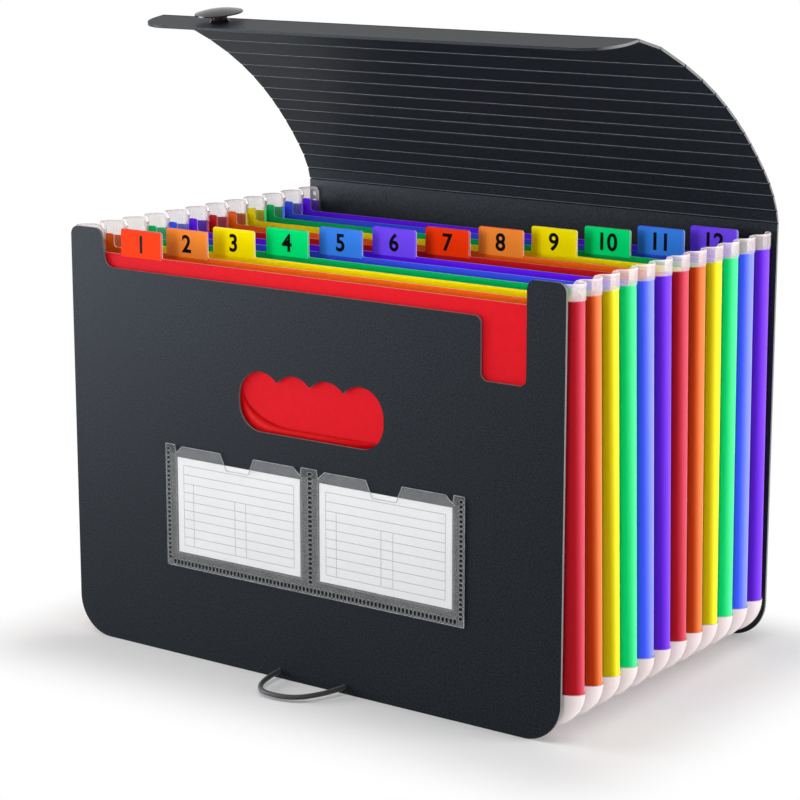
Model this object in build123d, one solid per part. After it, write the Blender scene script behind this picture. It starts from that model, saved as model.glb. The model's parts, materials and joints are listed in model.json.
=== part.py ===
from build123d import *
from math import cos, hypot, pi, radians, sin
import os

# Expanding file: a scored one-sheet back and lid, a front cover, twelve tabbed
# sheets and a pleated film that joins them. Millimetres, +Z up, front facing -Y.
# Origin: middle of the foot, halfway from the card pocket's face to the back cover.

# Covers
WIDTH = 330.0
HEIGHT = 238.0
SHEET = 1.5
CORNER = 22.0
GAP = 0.3
FACE_SHIFT = 5.0

# Pockets: one pleat of film each, with a coloured strip inside at both sides
POCKETS = 12
PITCH = 18.0
LAND = 1.0
BULGE = 8.0
PLEAT_STEPS = 6
FILM = 0.4
FILM_DROP = 1.0
FLOOR_GAP = 4.0
STRIP = 0.5
STRIP_GAP = 0.15
STRIP_FOOT = 26.0
STRIP_DROP = 9.5
COLOURS = ("red", "orange", "yellow", "green", "blue", "purple")

# Front cover cut-outs, measured from its top and ends
LEFT_EAR = 22.5
RIGHT_EAR = 23.0
EAR_ROUND = 5.0
CUT_DEPTH = 21.5
CUT_LEAN = 3.0
CUT_ROUND = 6.0
NOTCH_WIDTH = 27.5
NOTCH_DEPTH = 54.5
NOTCH_ROUND = 4.0
GRIP_DROP = 67.6
GRIP_HEIGHT = 33.4
GRIP_STEP = 22.4
GRIP_R = 15.3
GRIP_ROUND = 14.8
FINGERS = 4

# Tabbed sheets, measured from the covers' top
LEAF = 0.8
FIRST_LEAF_GAP = 0.9
EDGE_DROP = 13.5
EDGE_ROUND = 1.0
TAB_RISE = 1.0
TAB_WIDTH = 30.0
TAB_ROUND = 1.5
TAB_FOOT = 0.8
TAB_START = 27.0
TAB_END = 6.0
FRONT_TABS = 2
FRONT_STEP = 18.7
HORN_DROP = 6.0
HORN_WIDTH = 6.0
HORN_ROUND = 1.2
HORN_FOOT = 2.0
LABEL = 0.3
LABEL_MARGIN = 0.4
LABEL_ROUND = 1.1
LABEL_FOOT = 1.0

# Lid: strip lengths and rest slopes from the back cover up; the last three are plain flap
CREASE_RISE = 4.0
LENGTHS = (7.5, 10, 9, 10.5, 10.5, 10.5, 10, 11.5, 13, 13.5, 16, 19, 26, 21, 27)
SLOPES = (74, 63, 55.5, 51, 48.5, 46, 43.5, 41, 38, 34.5, 31, 27, 23.5, 14, -8)
SCORED = 13
GROOVE = 0.7
PLAIN_GROOVE = 0.45
TAPER_FROM = 27.0
TIP_NARROWING = 7.0
TIP_ROUND = 22.0

# Button near the flap's free edge
BUTTON_INSET = 49.5
BUTTON_EDGE = 18.0
BUTTON_R = 13.6
CAP_UNDER = 0.5
CAP_RIM = 0.7
CAP_RISE = 1.9
STEM_R = 4.5
STEM = 4.0
STEM_FLARE = 1.3
SHANK_R = 3.0
SHANK_GAP = 0.05
HEAD_R = 7.0
HEAD = 1.2

# Card pocket on the front cover: two bays between weld columns
POCKET_WIDTH = 202.4
POCKET_FOOT = 52.0
POCKET_HEIGHT = 69.8
POCKET_GAP = 0.7
POCKET_ROUND = 0.8
SIDE_WELD = 6.6
MIDDLE_WELD = 10.4
FOOT_WELD = 7.2
LIP_NOTCH = 0.8
LIP_SLANT = 4.6
LIP_LENGTH = 27.5
LIP_FALL = 4.0
LIP_DROP = 0.5
LIP_FOOT = 4.6
THUMB_DEPTH = 9.7
CARD = 0.4
CARD_HEIGHT = 54.3
CARD_SIDE_GAP = 1.5
CARD_LIFT = 1.3

# Elastic loop
CORD_R = 1.4
CORD_X = 22.4
CORD_Z = 4.0
CORD_FALL = 3.0
CORD_START = 0.1
LOOP = ((-CORD_X, CORD_START), (-CORD_X, 28.9), (8.5, 32), (CORD_X, 9.6), (CORD_X, CORD_START))
LOOP_RADII = (13.0, 20.0, 10.0)
STOP_R = 3.0
STOP = 1.2

DEPTH = POCKETS * PITCH + 2 * SHEET
FRONT = (POCKET_GAP + FILM - DEPTH) / 2
BACK = FRONT + DEPTH
VALLEY_X = WIDTH / 2 - BULGE
VALLEY_Z = FLOOR_GAP + BULGE
VALLEY_R = CORNER - BULGE
FILM_TOP = HEIGHT - FILM_DROP
LEAF_HALF = VALLEY_X - FILM - GAP
LEAF_FOOT = VALLEY_Z + FILM + GAP
LEAF_ROUND = VALLEY_R - FILM - GAP
EDGE_Z = HEIGHT - EDGE_DROP
TAB_Z = HEIGHT + TAB_RISE
TAB_FIRST = -LEAF_HALF + TAB_START + TAB_WIDTH / 2
TAB_LAST = LEAF_HALF - TAB_END - TAB_WIDTH / 2
TAB_STEP = (TAB_LAST - TAB_FIRST - FRONT_TABS * FRONT_STEP) / (POCKETS - 1 - FRONT_TABS)
CREASE_Z = HEIGHT + CREASE_RISE
BAY_INNER = MIDDLE_WELD / 2
BAY_OUTER = POCKET_WIDTH / 2 - SIDE_WELD
BAY_MIDDLE = (BAY_INNER + BAY_OUTER) / 2
BAY_FOOT = POCKET_FOOT + FOOT_WELD


def outline(points):
    """Closed sketch through (u, v, corner radius) points."""
    corners = [(u, v) for u, v, _ in points]
    radii = [radius for _, _, radius in points]
    return make_face(FilletPolyline(*corners, radius=radii, close=True))


def standing(sketch, y_front, thickness):
    """Upright plate: the sketch's u is X and its v is Z; the front face is at y_front."""
    back = Plane(origin=(0, y_front + thickness, 0), x_dir=(1, 0, 0), z_dir=(0, -1, 0))
    return extrude(back * sketch, amount=thickness)


def along_x(points, half):
    """Prism of a (y, z) polygon, from -half to half in X."""
    return extrude(Plane.YZ * make_face(Polyline(*points, close=True)), amount=half, both=True)


def shifted(points, distance):
    """An open (u, y) polyline moved towards -u by distance, with mitred corners."""
    normals = []
    for (u0, y0), (u1, y1) in zip(points, points[1:]):
        length = hypot(u1 - u0, y1 - y0)
        normals.append(((y0 - y1) / length, (u1 - u0) / length))
    moved = []
    for i, (u, y) in enumerate(points):
        a = normals[max(i - 1, 0)]
        b = normals[min(i, len(normals) - 1)]
        scale = distance / (1 + a[0] * b[0] + a[1] * b[1])
        moved.append((u + scale * (a[0] + b[0]), y + scale * (a[1] + b[1])))
    return moved


def valley(k):
    """Y of the k-th valley line; the first is the front cover's back, the last the back cover."""
    return FRONT + SHEET + k * PITCH


def pleat(k):
    """Half-round outline of pleat k: outward distance u and y."""
    middle = (valley(k) + valley(k + 1)) / 2
    half = PITCH / 2 - LAND
    turns = [pi * i / PLEAT_STEPS for i in range(PLEAT_STEPS + 1)]
    return [(BULGE * sin(t), middle - half * cos(t)) for t in turns]


def front_cover():
    """Cover plate with end ears, a thumb notch and a four-finger hand hole."""
    edge = WIDTH / 2
    cut_z = HEIGHT - CUT_DEPTH
    cut_x = LEFT_EAR + CUT_LEAN - edge
    notch_z = HEIGHT - NOTCH_DEPTH
    notch_right = edge - RIGHT_EAR
    notch_left = notch_right - NOTCH_WIDTH
    face = outline([
        (-edge, 0, CORNER),
        (edge, 0, CORNER),
        (edge, HEIGHT, EAR_ROUND),
        (notch_right, HEIGHT, EAR_ROUND),
        (notch_right, notch_z, NOTCH_ROUND),
        (notch_left, notch_z, NOTCH_ROUND),
        (notch_left, cut_z, NOTCH_ROUND),
        (cut_x, cut_z, CUT_ROUND),
        (LEFT_EAR - edge, HEIGHT, EAR_ROUND),
        (-edge, HEIGHT, EAR_ROUND),
    ])
    grip_top = HEIGHT - GRIP_DROP
    grip_foot = grip_top - GRIP_HEIGHT
    finger_z = grip_top - GRIP_R
    grip_half = (FINGERS - 1) / 2 * GRIP_STEP + GRIP_R
    face -= Pos(FACE_SHIFT, 0) * outline([
        (-grip_half, grip_foot, GRIP_ROUND),
        (grip_half, grip_foot, GRIP_ROUND),
        (grip_half, finger_z, 0),
        (-grip_half, finger_z, 0),
    ])
    for i in range(FINGERS):
        face -= Pos(FACE_SHIFT + (i - (FINGERS - 1) / 2) * GRIP_STEP, finger_z) * Circle(GRIP_R)
    for x in (-CORD_X, CORD_X):
        face -= Pos(FACE_SHIFT + x, CORD_Z) * Circle(CORD_R + GAP)
    return standing(face, FRONT, SHEET)


def bay_lips(top):
    """Free film edge over the right bay, from its outer column to the middle one."""
    lip = top - LIP_DROP
    foot = top - LIP_FOOT
    thumb = top - THUMB_DEPTH
    points = []
    for wall, inward in ((BAY_OUTER, -1), (BAY_INNER, 1)):
        x = wall + inward * LIP_NOTCH
        side = [(x, foot, 0)]
        for run, z in ((LIP_SLANT, lip), (LIP_LENGTH, lip), (LIP_FALL, thumb)):
            x += inward * run
            side.append((x, z, 0))
        points += side if inward < 0 else side[::-1]
    return points


def card_pocket():
    """Clear film with two bays, welded to the cover along its columns and foot."""
    half = POCKET_WIDTH / 2
    top = POCKET_FOOT + POCKET_HEIGHT
    right = [(half, POCKET_FOOT, POCKET_ROUND), (half, top, POCKET_ROUND), (BAY_OUTER, top, 0)]
    right += bay_lips(top) + [(BAY_INNER, top, 0)]
    left = [(-x, z, radius) for x, z, radius in reversed(right)]
    film = outline(right + left)
    bay = Rectangle(BAY_OUTER - BAY_INNER, POCKET_HEIGHT, align=(Align.CENTER, Align.MIN))
    weld = film
    for side in (-1, 1):
        weld -= Pos(side * BAY_MIDDLE, BAY_FOOT) * bay
    face = FRONT - POCKET_GAP
    shift = Pos(FACE_SHIFT, 0)
    return standing(shift * film, face - FILM, FILM) + standing(shift * weld, face, POCKET_GAP)


def card(side):
    """Paper card standing in one bay of the card pocket."""
    width = BAY_OUTER - BAY_INNER - 2 * CARD_SIDE_GAP
    sheet = Rectangle(width, CARD_HEIGHT, align=(Align.CENTER, Align.MIN))
    place = Pos(FACE_SHIFT + side * BAY_MIDDLE, BAY_FOOT + CARD_LIFT)
    return standing(place * sheet, FRONT - (POCKET_GAP + CARD) / 2, CARD)


def elastic():
    """Cord loop out of the front cover's two holes, and its two stops behind the cover."""
    fall = radians(CORD_FALL)
    inner = FRONT + SHEET
    origin = (FACE_SHIFT, inner, CORD_Z)
    plane = Plane(origin=origin, x_dir=(1, 0, 0), z_dir=(0, sin(fall), -cos(fall)))
    path = plane * FilletPolyline(*LOOP, radius=LOOP_RADII)
    start = Plane(origin=path @ 0, z_dir=path % 0)
    cord = sweep(start * Circle(CORD_R), path=path)
    print("cord length", round(path.length, 2), "radii", LOOP_RADII, "volume", round(cord.volume, 1))
    print("section times length", round(pi * CORD_R ** 2 * path.length, 1))
    exits = (FACE_SHIFT - CORD_X, FACE_SHIFT + CORD_X)
    stops = [standing(Pos(x, CORD_Z) * Circle(STOP_R), inner, STOP) for x in exits]
    return cord, stops[0] + stops[1]


def tab_x(k):
    """Middle of tab k: the first few stand closer together than the rest."""
    return TAB_FIRST + FRONT_STEP * min(k, FRONT_TABS) + TAB_STEP * max(0, k - FRONT_TABS)


def leaf(k):
    """Tabbed sheet k and the label on the front of its tab."""
    left = tab_x(k) - TAB_WIDTH / 2
    right = left + TAB_WIDTH
    horn_x = HORN_WIDTH - LEAF_HALF
    horn_z = HEIGHT - HORN_DROP
    face = outline([
        (-LEAF_HALF, LEAF_FOOT, LEAF_ROUND),
        (LEAF_HALF, LEAF_FOOT, LEAF_ROUND),
        (LEAF_HALF, EDGE_Z, EDGE_ROUND),
        (right, EDGE_Z, TAB_FOOT),
        (right, TAB_Z, TAB_ROUND),
        (left, TAB_Z, TAB_ROUND),
        (left, EDGE_Z, TAB_FOOT),
        (horn_x, EDGE_Z, HORN_FOOT),
        (horn_x, horn_z, HORN_ROUND),
        (-LEAF_HALF, horn_z, HORN_ROUND),
    ])
    tag = outline([
        (left + LABEL_MARGIN, EDGE_Z - LABEL_FOOT, 0),
        (right - LABEL_MARGIN, EDGE_Z - LABEL_FOOT, 0),
        (right - LABEL_MARGIN, TAB_Z - LABEL_MARGIN, LABEL_ROUND),
        (left + LABEL_MARGIN, TAB_Z - LABEL_MARGIN, LABEL_ROUND),
    ])
    front = valley(k) + (FIRST_LEAF_GAP if k == 0 else -LEAF / 2)
    return standing(face, front, LEAF), standing(tag, front - LABEL, LABEL)


def pleated_film():
    """Film round both sides and the foot, one sweep of the whole row of pleats."""
    row = [(0, valley(0) + GAP)]
    for k in range(POCKETS):
        row += pleat(k)
    row.append((0, valley(POCKETS)))
    ring = row + shifted(row, FILM)[::-1]
    face = make_face(Polyline(*[(-VALLEY_X - u, y, FILM_TOP) for u, y in ring], close=True))
    path = FilletPolyline(
        (-VALLEY_X, 0, FILM_TOP),
        (-VALLEY_X, 0, VALLEY_Z),
        (VALLEY_X, 0, VALLEY_Z),
        (VALLEY_X, 0, FILM_TOP),
        radius=VALLEY_R,
    )
    return sweep(face, path=path)


def side_strips(c):
    """Strips of colour c inside the film, at both sides of each pleat of that colour."""
    inset = FILM + STRIP_GAP
    height = HEIGHT - STRIP_DROP - STRIP_FOOT
    solids = []
    for k in range(c, POCKETS, len(COLOURS)):
        ring = shifted(pleat(k), inset) + shifted(pleat(k), inset + STRIP)[::-1]
        for side in (-1, 1):
            points = [(side * (VALLEY_X + u), y) for u, y in ring]
            face = Pos(0, 0, STRIP_FOOT) * make_face(Polyline(*points, close=True))
            solids.append(extrude(face, amount=height, dir=(0, 0, 1)))
    return Compound(children=solids)


def back_cover():
    """Back plate up to the first crease, bevelled inside at its top edge."""
    edge = WIDTH / 2
    face = outline([(-edge, 0, CORNER), (edge, 0, CORNER), (edge, CREASE_Z, 0), (-edge, CREASE_Z, 0)])
    inner = BACK - SHEET
    profile = [(inner, 0), (BACK, 0), (BACK, CREASE_Z - GAP / 2), (inner, CREASE_Z - GROOVE)]
    return standing(face, inner, SHEET) & along_x(profile, edge)


def lid_half(s):
    """Half width of the lid at arc length s from the first crease."""
    share = max(0.0, s - TAPER_FROM) / (sum(LENGTHS) - TAPER_FROM)
    return WIDTH / 2 - TIP_NARROWING * share


def lid_frames():
    """Each lid strip's frame (X across, Y along it, Z inward, on its crease) and start."""
    frames = []
    y, z, s = BACK, CREASE_Z, 0.0
    for length, slope in zip(LENGTHS, SLOPES):
        a = radians(slope)
        plane = Plane(origin=(0, y, z), x_dir=(1, 0, 0), z_dir=(0, -sin(a), -cos(a)))
        frames.append((plane, s))
        y -= length * cos(a)
        z += length * sin(a)
        s += length
    return frames


def lid_strip(i, start):
    """Strip i of the lid in its own frame, bevelled inside at its creases."""
    length = LENGTHS[i]
    low = GROOVE if i < SCORED else PLAIN_GROOVE
    high = GROOVE if i + 1 < SCORED else PLAIN_GROOVE
    profile = [(GAP / 2, 0), (length - GAP / 2, 0), (length - high, SHEET), (low, SHEET)]
    near, far = lid_half(start), lid_half(start + length)
    face = outline([(-near, 0, 0), (near, 0, 0), (far, length, 0), (-far, length, 0)])
    return extrude(face, amount=SHEET) & along_x(profile, WIDTH)


def lid_tip(start):
    """Last strip of the lid: rounded free corners and the button's hole."""
    length = LENGTHS[-1]
    near, far = lid_half(start), lid_half(start + length)
    profile = [(GAP / 2, 0), (length, 0), (length, SHEET), (PLAIN_GROOVE, SHEET)]
    face = outline([(-near, 0, 0), (near, 0, 0), (far, length, TIP_ROUND), (-far, length, TIP_ROUND)])
    face -= button_place() * Circle(SHANK_R + SHANK_GAP)
    return extrude(face, amount=SHEET) & along_x(profile, WIDTH)


def button_place():
    """Button's axis in the last strip's frame."""
    return Pos(BUTTON_INSET + TIP_NARROWING - WIDTH / 2, LENGTHS[-1] - BUTTON_EDGE)


def button():
    """Mushroom button in the last strip's frame: inner head, shank, stem and domed cap."""
    inside = SHEET + HEAD
    rim = -STEM - CAP_UNDER - CAP_RIM
    crown = rim - CAP_RISE
    edge = Polyline(
        (0, inside),
        (HEAD_R, inside),
        (HEAD_R, SHEET),
        (SHANK_R, SHEET),
        (SHANK_R, 0),
        (STEM_R + STEM_FLARE, 0),
        (STEM_R, -STEM_FLARE),
        (STEM_R, -STEM),
        (BUTTON_R, -STEM - CAP_UNDER),
        (BUTTON_R, rim),
    )
    dome = TangentArc((0, crown), (BUTTON_R, rim), tangent=(1, 0))
    axis = Line((0, crown), (0, inside))
    face = Plane.XZ * make_face(edge.edges() + dome.edges() + axis.edges())
    return button_place() * revolve(face, axis=Axis.Z)


parts = {}
parts["back_cover"] = back_cover()
parts["pleated_film"] = pleated_film()
for c, colour in enumerate(COLOURS):
    parts["side_strips_" + colour] = side_strips(c)
parts["front_cover"] = front_cover()
parts["card_pocket"] = card_pocket()
parts["card_left"] = card(-1)
parts["card_right"] = card(1)
parts["elastic_loop"], parts["elastic_stops"] = elastic()
for k in range(POCKETS):
    parts["leaf_%02d" % (k + 1)], parts["label_%02d" % (k + 1)] = leaf(k)
frames = lid_frames()
for i, (plane, start) in enumerate(frames[:-1]):
    name = "lid_strip_%02d" % (i + 1) if i < SCORED - 1 else "lid_flap_%d" % (i + 2 - SCORED)
    parts[name] = plane * lid_strip(i, start)
plane, start = frames[-1]
parts["lid_tip"] = plane * lid_tip(start)
parts["lid_button"] = plane * button()
for i, (plane, _) in enumerate(frames):
    print("crease", i + 1, "y", round(plane.origin.Y, 3), "z", round(plane.origin.Z, 3))

os.makedirs("parts", exist_ok=True)
for name, shape in parts.items():
    export_step(shape, "parts/" + name + ".step")
print(len(parts), "nodes, front cover at y", FRONT, "back cover at y", BACK)
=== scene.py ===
# %% [markdown]
# An expanding file, dressed for its picture. The measured solids come in as a fixed frame. Everything
# that looks soft, clear, printed or welded is worked out here as numpy surfaces around those solids,
# and each new piece rides on the body that carries it. Sizes of pieces are written in millimetres and
# become Blender's metres where a mesh is made; camera, floor and lamps are in metres. The front's
# cut-outs, pocket and loop lie a little right of the middle, by the face shift.

# %% Load the frame
import json
import bmesh
import bpy
import numpy as np
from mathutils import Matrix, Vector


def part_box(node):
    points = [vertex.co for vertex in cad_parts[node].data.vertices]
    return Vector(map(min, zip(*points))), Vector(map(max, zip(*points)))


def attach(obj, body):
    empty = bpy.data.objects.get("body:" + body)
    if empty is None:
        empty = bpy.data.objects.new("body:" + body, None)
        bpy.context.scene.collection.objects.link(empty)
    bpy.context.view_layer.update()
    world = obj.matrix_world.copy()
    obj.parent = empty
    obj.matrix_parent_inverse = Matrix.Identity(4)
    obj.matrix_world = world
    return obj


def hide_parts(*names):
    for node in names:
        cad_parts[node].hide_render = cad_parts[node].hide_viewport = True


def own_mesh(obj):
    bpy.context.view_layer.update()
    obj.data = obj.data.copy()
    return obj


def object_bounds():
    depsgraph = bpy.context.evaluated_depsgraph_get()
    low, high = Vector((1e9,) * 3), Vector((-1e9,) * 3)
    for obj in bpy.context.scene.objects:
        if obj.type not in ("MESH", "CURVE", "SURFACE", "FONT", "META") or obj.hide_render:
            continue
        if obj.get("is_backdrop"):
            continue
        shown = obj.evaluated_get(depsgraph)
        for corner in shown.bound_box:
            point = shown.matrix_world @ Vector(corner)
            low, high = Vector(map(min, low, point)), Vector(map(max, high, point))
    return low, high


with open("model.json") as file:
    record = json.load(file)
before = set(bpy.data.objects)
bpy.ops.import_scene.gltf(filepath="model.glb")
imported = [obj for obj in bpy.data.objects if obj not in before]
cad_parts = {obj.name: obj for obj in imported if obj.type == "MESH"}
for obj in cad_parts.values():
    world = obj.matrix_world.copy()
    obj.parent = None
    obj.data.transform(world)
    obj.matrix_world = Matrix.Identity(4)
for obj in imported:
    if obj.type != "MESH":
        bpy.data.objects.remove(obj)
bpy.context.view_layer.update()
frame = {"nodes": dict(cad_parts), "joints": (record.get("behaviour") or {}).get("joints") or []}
nodes = frame["nodes"]
MM = 0.001
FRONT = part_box("front_cover")[0].y
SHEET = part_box("front_cover")[1].y - FRONT
INNER_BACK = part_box("back_cover")[0].y
FACE_SHIFT = 5.0
print("covers from y", round(FRONT / MM, 2), "to", round(INNER_BACK / MM, 2), "mm")

# %% [markdown]
# The camera comes first, because every later choice is judged through it. A long lens from the
# front right, a little higher than the lid, gives the flat look of a product picture. A camera that
# is turned 90 degrees about X looks along +Y, so the tilt is taken off that and the turn goes to Z.

# %% Camera
TURN, TILT = np.radians(36.196), np.radians(12.45)
STAND = (0.80524, -1.12109, 0.4439)
LENS, SENSOR = 112.04, 36
camera = bpy.data.objects.new("camera", bpy.data.cameras.new("camera"))
camera.location = STAND
camera.rotation_euler = (np.pi / 2 - TILT, 0, TURN)
camera.data.sensor_width = SENSOR
camera.data.lens = LENS
bpy.context.scene.collection.objects.link(camera)
bpy.context.scene.camera = camera
bpy.context.scene.view_settings.view_transform = "Standard"
print("camera turned", round(np.degrees(TURN), 1), "degrees and tilted", round(np.degrees(TILT), 1))

# %% [markdown]
# Finishes share a few helpers. Colours are written as the bytes one reads off a screen and turned into
# the linear values that a shader wants. Every finish starts as Blender's Principled shader, because its
# roughness, gloss and alpha are enough for plastic, paper, cord and film alike.


# %% Finish helpers
def linear(red, green, blue):
    """Screen bytes to linear light: ((c + 0.055) / 1.055) to the power 2.4, or c / 12.92 when dark."""
    c = np.array([red, green, blue]) / 255
    return tuple(np.where(c > 0.04045, ((c + 0.055) / 1.055) ** 2.4, c / 12.92).tolist())


def finish(name, roughness, **sockets):
    """A new Principled material; each extra word is a socket, with _ for a space."""
    material = bpy.data.materials.new(name)
    material.use_nodes = True
    shader = material.node_tree.nodes["Principled BSDF"]
    shader.inputs["Roughness"].default_value = roughness
    for word, value in sockets.items():
        shader.inputs[word.replace("_", " ")].default_value = value
    return material


def wire(material, start, start_socket, end, end_socket):
    """Joins an output to an input; either node may be named."""
    tree = material.node_tree
    start = tree.nodes[start] if isinstance(start, str) else start
    end = tree.nodes[end] if isinstance(end, str) else end
    tree.links.new(start.outputs[start_socket], end.inputs[end_socket])


print("red 200 is", round(linear(200, 0, 0)[0], 3), "in linear light")

# %% [markdown]
# No plastic or paper is of one flat colour. A picture could be laid on, but a noise needs no file and
# no unwrapping, and it stays sharp close up. One noise feeds both the colour and the bump, so a dark
# speck is also a small pit, as on pressed plastic. It reads the piece's own coordinates, so it stays
# put when the piece moves.


# %% Grain
def grain(material, size, dark, light, bump, detail=3.0, stretch=(1, 1, 1)):
    """Noise of one size on Object coordinates: it mixes two colours and lifts a bump a sixth as high.
    Gives back the colour ramp."""
    new = material.node_tree.nodes.new
    place, mapping, noise, ramp, lift = (
        new("ShaderNode" + kind) for kind in ("TexCoord", "Mapping", "TexNoise", "ValToRGB", "Bump")
    )
    mapping.inputs["Scale"].default_value = stretch
    noise.inputs["Scale"].default_value = 1 / size
    noise.inputs["Detail"].default_value = detail
    for element, place_on_ramp, rgb in zip(ramp.color_ramp.elements, (0.35, 0.65), (dark, light)):
        element.position = place_on_ramp
        element.color = (*linear(*rgb), 1)
    lift.inputs["Strength"].default_value = bump
    lift.inputs["Distance"].default_value = size / 6
    wire(material, place, "Object", mapping, "Vector")
    wire(material, mapping, "Vector", noise, "Vector")
    wire(material, noise, "Fac", ramp, "Fac")
    wire(material, ramp, "Color", "Principled BSDF", "Base Color")
    wire(material, noise, "Fac", lift, "Height")
    wire(material, lift, "Normal", "Principled BSDF", "Normal")
    return ramp


def paint(node, material):
    """Gives a CAD node, or a new piece, its one material."""
    piece = nodes[node] if isinstance(node, str) else node
    if not piece.material_slots:
        piece.data.materials.append(material)
    for slot in piece.material_slots:
        slot.material = material
    return piece


print(len(nodes), "nodes to paint")

# %% [markdown]
# The elastic is a thin covered cord. It comes out of one hole in the front cover's foot, makes a slack
# loop just over the floor and goes back in at the other hole. A NURBS spline takes the route's corner
# points as its controls, so the line stays smooth however few points it has.

# %% Elastic loop
CORD_R, CORD_Z, CORD_X, FALL = 1.4, 4.0, 22.4, np.radians(3.0)
route = np.array([(-CORD_X, 0.1), (-CORD_X, 28.9), (8.5, 32), (CORD_X, 9.6), (CORD_X, 0.1)])
points = np.stack([
    (FACE_SHIFT + route[:, 0]) * MM,
    FRONT + SHEET - route[:, 1] * np.cos(FALL) * MM,
    (CORD_Z - route[:, 1] * np.sin(FALL)) * MM,
], axis=1)
curve = bpy.data.curves.new("elastic", "CURVE")
curve.dimensions = "3D"
curve.bevel_depth = CORD_R * MM
curve.bevel_resolution = 6
curve.use_fill_caps = True
spline = curve.splines.new("NURBS")
spline.points.add(len(points) - 1)
spline.points.foreach_set("co", np.append(points, np.ones((len(points), 1)), axis=1).ravel())
spline.order_u = 3
spline.use_endpoint_u = True
spline.resolution_u = 24
elastic = bpy.data.objects.new("elastic", curve)
bpy.context.scene.collection.objects.link(elastic)
cover_thread = finish("cover_thread", 0.6, Sheen_Weight=0.25)
grain(cover_thread, 0.5 * MM, (12, 12, 13), (36, 36, 39), 0.5, stretch=(1, 2.2, 2.2))
paint(elastic, cover_thread)
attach(elastic, "front")
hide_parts("elastic_loop")
print("elastic is", round(spline.calc_length() / MM, 1), "mm long")

# %% [markdown]
# Every other new piece, apart from the numbers, is worked out as a whole array of points. Blender's own
# operators would do for a few pieces, but arrays keep the formula in sight and make thousands of points
# at once. Most pieces are grids: rows along one parameter, columns along the other. One helper numbers
# the grid's squares and makes the mesh. Points that fall together, at a pole or a seam, are joined, and
# all faces are turned outward.

# %% Mesh helpers
JOIN = 0.001 * MM


def add(name, mesh, smooth_angle=40):
    """Links a mesh as a piece at the origin; edges sharper than the angle stay crisp."""
    work = bmesh.new()
    work.from_mesh(mesh)
    bmesh.ops.remove_doubles(work, verts=work.verts, dist=JOIN)
    bmesh.ops.recalc_face_normals(work, faces=work.faces)
    work.to_mesh(mesh)
    work.free()
    mesh.shade_smooth()
    mesh.set_sharp_from_angle(angle=np.radians(smooth_angle))
    piece = bpy.data.objects.new(name, mesh)
    bpy.context.scene.collection.objects.link(piece)
    return piece


def grids(name, points, ring=False, smooth_angle=40, **values):
    """Mesh of grids, points[piece, row, column]. Vertex = (piece * rows + row) * columns + column,
    and each face joins four neighbours; ring also joins the last column to the first. Each further
    word is a number per point, kept as an attribute."""
    count, rows, columns = points.shape[:3]
    piece, row, column = np.meshgrid(
        np.arange(count), np.arange(rows - 1), np.arange(columns if ring else columns - 1), indexing="ij"
    )
    after = (column + 1) % columns
    first = (piece * rows + row) * columns
    second = first + columns
    faces = np.stack([first + column, first + after, second + after, second + column], axis=-1)
    mesh = bpy.data.meshes.new(name)
    mesh.from_pydata(points.reshape(-1, 3).tolist(), [], faces.reshape(-1, 4).tolist())
    for word, value in values.items():
        flat = np.broadcast_to(value, points.shape[:3]).ravel().astype(np.float32)
        mesh.attributes.new(word, "FLOAT", "POINT").data.foreach_set("value", flat)
    return add(name, mesh, smooth_angle)


print("points within", JOIN / MM, "mm are joined")

# %% [markdown]
# The pleated film is the heart of the file: a clear skin that runs down one side, under the pockets and
# up the other, folded in a half-round for each pocket. Its section is an ellipse arch, its path a U with
# round corners, so the surface is one grid: arches across, the U along. Here is the section. Soft pleats
# belly out where little holds them, most near the foot of the front ones, so the arch's height gets a
# swell. The arch's top corners are rounded, so each point of the section also has a dip.

# %% Pleat section
POCKETS, PITCH, LAND, BULGE = 12, 18.0, 1.0, 8.0
VALLEY_X, VALLEY_Z, VALLEY_R = 157.0, 12.0, 14.0
FILM_TOP, CAP_ROUND, FOLD_WIDE = 237.0, 3.0, 0.9
STRIP_FOOT, STRIP_TOP = 26.0, 228.5
HALF = PITCH / 2 - LAND
SWELL_FOOT, SWELL_STEP, SWELL_TOP, SWELL_FADE = 7.5, 0.5, 4.0, 1.5
first_valley = (FRONT + SHEET) / MM
middles = first_valley + (np.arange(POCKETS) + 0.5) * PITCH


def swell(k, z):
    """Belly of pleat k: at the strips' foot it falls by a step per pleat, at their top it fades after the
    first pleats, and between them it is a straight blend."""
    down = np.clip((STRIP_TOP - z) / (STRIP_TOP - STRIP_FOOT), 0, 1)
    return down * (SWELL_FOOT - SWELL_STEP * k) + (1 - down) * SWELL_TOP * np.exp(-k / SWELL_FADE)


t = np.linspace(0, np.pi, 17)
row_k = np.repeat(np.arange(POCKETS), len(t))
row_sin = np.tile(np.sin(t), POCKETS)
row_y = (middles[:, None] - HALF * np.cos(t)).ravel()
edge_distance = np.minimum(t, np.pi - t) * (BULGE + HALF) / 2
into_round = np.clip(CAP_ROUND - edge_distance, 0, CAP_ROUND)
row_dip = np.tile(CAP_ROUND - np.sqrt(CAP_ROUND**2 - into_round**2), POCKETS)
fold_haze_and_highlight = np.tile(np.exp(-((edge_distance / FOLD_WIDE) ** 2)), POCKETS)
print(len(row_y), "points across", POCKETS, "pleats")

# %% [markdown]
# The U goes down the left side, round a corner, along the foot, and the same way up at the right. Its
# steps lie close where something happens: round the cap, and where a strip begins or ends. The first
# pleat is dented over the two elastic stops, so that they have room when the file is shut, and the foot
# gets more steps there.

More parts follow.
